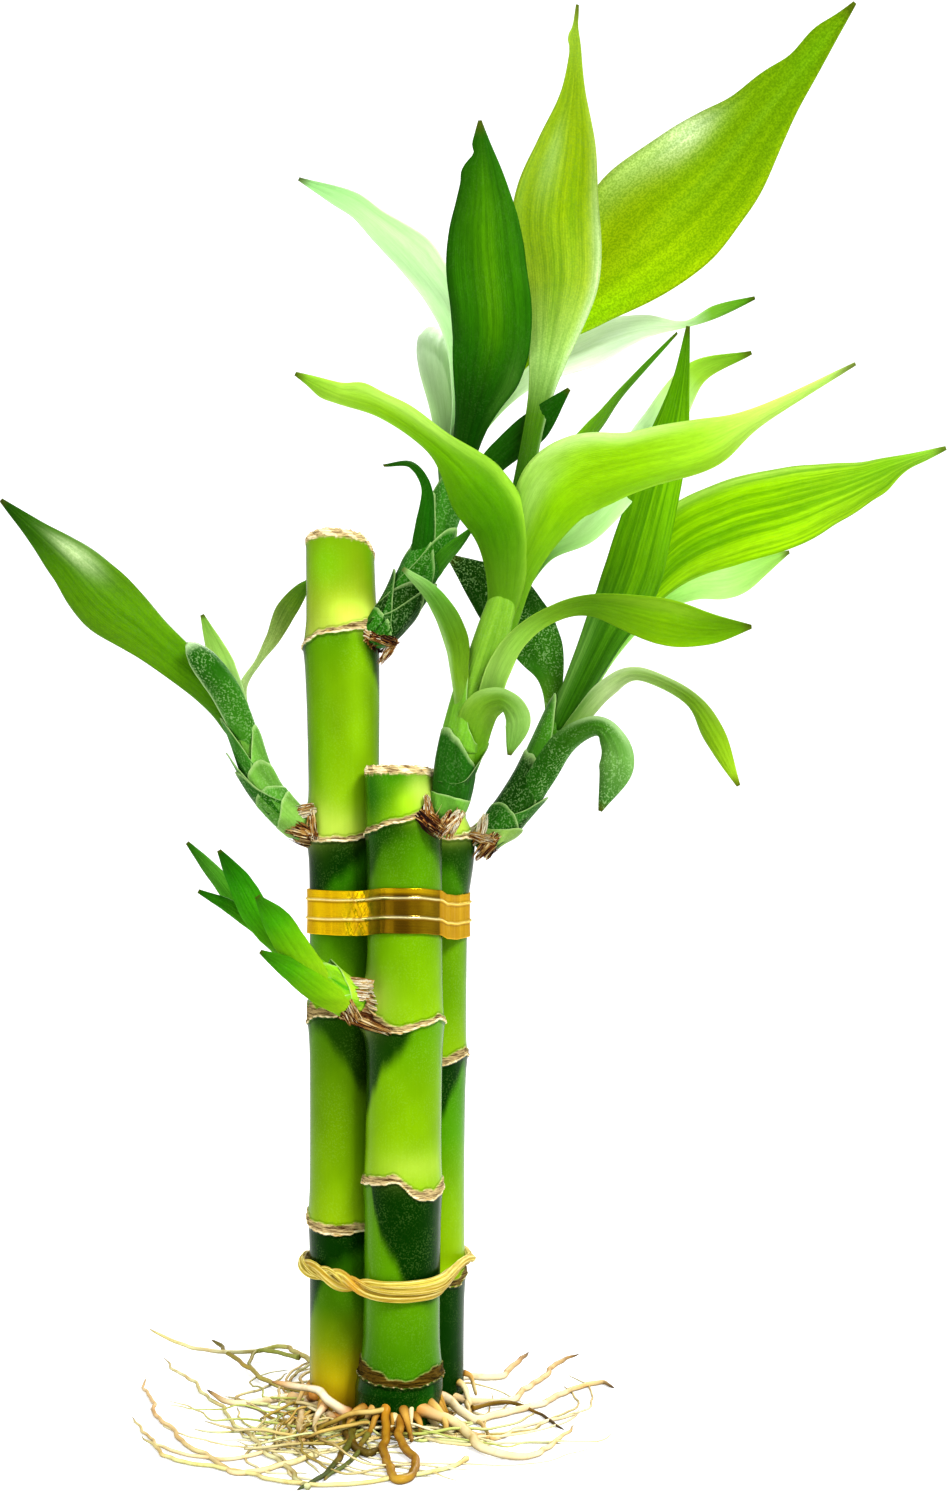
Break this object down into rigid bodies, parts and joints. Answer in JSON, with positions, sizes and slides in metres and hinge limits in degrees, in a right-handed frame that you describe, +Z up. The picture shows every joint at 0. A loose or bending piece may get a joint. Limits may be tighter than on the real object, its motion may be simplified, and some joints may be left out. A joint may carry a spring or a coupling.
{
  "type": "lucky bamboo",
  "caption": "Tied bundle of cut green canes standing on their flat ends and a mat of roots, with leafy side shoots and long pointed leaves.",
  "frame": {"origin": "centre of the front cane's flat cut end, on the surface that the bamboo stands on", "axes": "+Z up along the canes, +X to the viewer's right, +Y away from the viewer"},
  "size_m": [0.1835, 0.1223, 0.283],
  "materials": {
    "cane": "glossy green skin with papery brown ring scars",
    "shoot": "smooth green sheaths",
    "leaf": "satin leaf with fine lengthwise veins",
    "leaf_dark": "satin leaf with fine lengthwise veins",
    "leaf_pale": "matt pale leaf lit from behind",
    "foil": "metallic gold foil over two wires",
    "raffia": "dry plant fibre",
    "root": "matt, waxy"
  },
  "bodies": {
    "root": {"cane_front": "cane", "cane_tall": "cane", "cane_right": "cane", "shoot_upper": "shoot", "shoot_front": "shoot", "shoot_right": "shoot", "shoot_left": "shoot", "shoot_low": "shoot", "gold_ribbon": "foil", "raffia_tie": "raffia", "root_mat": "root", "leaf_upper_upright": "leaf_dark", "leaf_upper_broad": "leaf", "leaf_upper_pale_left": "leaf_pale", "leaf_upper_back": "leaf_pale", "leaf_upper_pale_right": "leaf_pale", "leaf_upper_hook": "leaf_dark", "leaf_upper_side": "leaf_dark", "leaf_upper_short": "leaf", "leaf_front_tall": "leaf_pale", "leaf_front_left": "leaf", "leaf_front_right": "leaf", "leaf_front_pale": "leaf_pale", "leaf_front_thin": "leaf", "leaf_front_arch": "leaf", "leaf_front_small": "leaf", "leaf_front_curled": "leaf", "leaf_right_upright": "leaf", "leaf_right_large": "leaf", "leaf_right_pale": "leaf_pale", "leaf_right_arch": "leaf", "leaf_right_hanging": "leaf_dark", "leaf_right_dark": "leaf_dark", "leaf_left_large": "leaf", "leaf_left_rolled": "leaf_dark", "leaf_left_back": "leaf_pale", "leaf_left_stalked": "leaf", "leaf_low_left": "leaf_dark", "leaf_low_upper": "leaf", "leaf_low_thin": "leaf_dark", "leaf_low_front": "leaf", "leaf_low_outer": "leaf"}
  },
  "joints": []
}
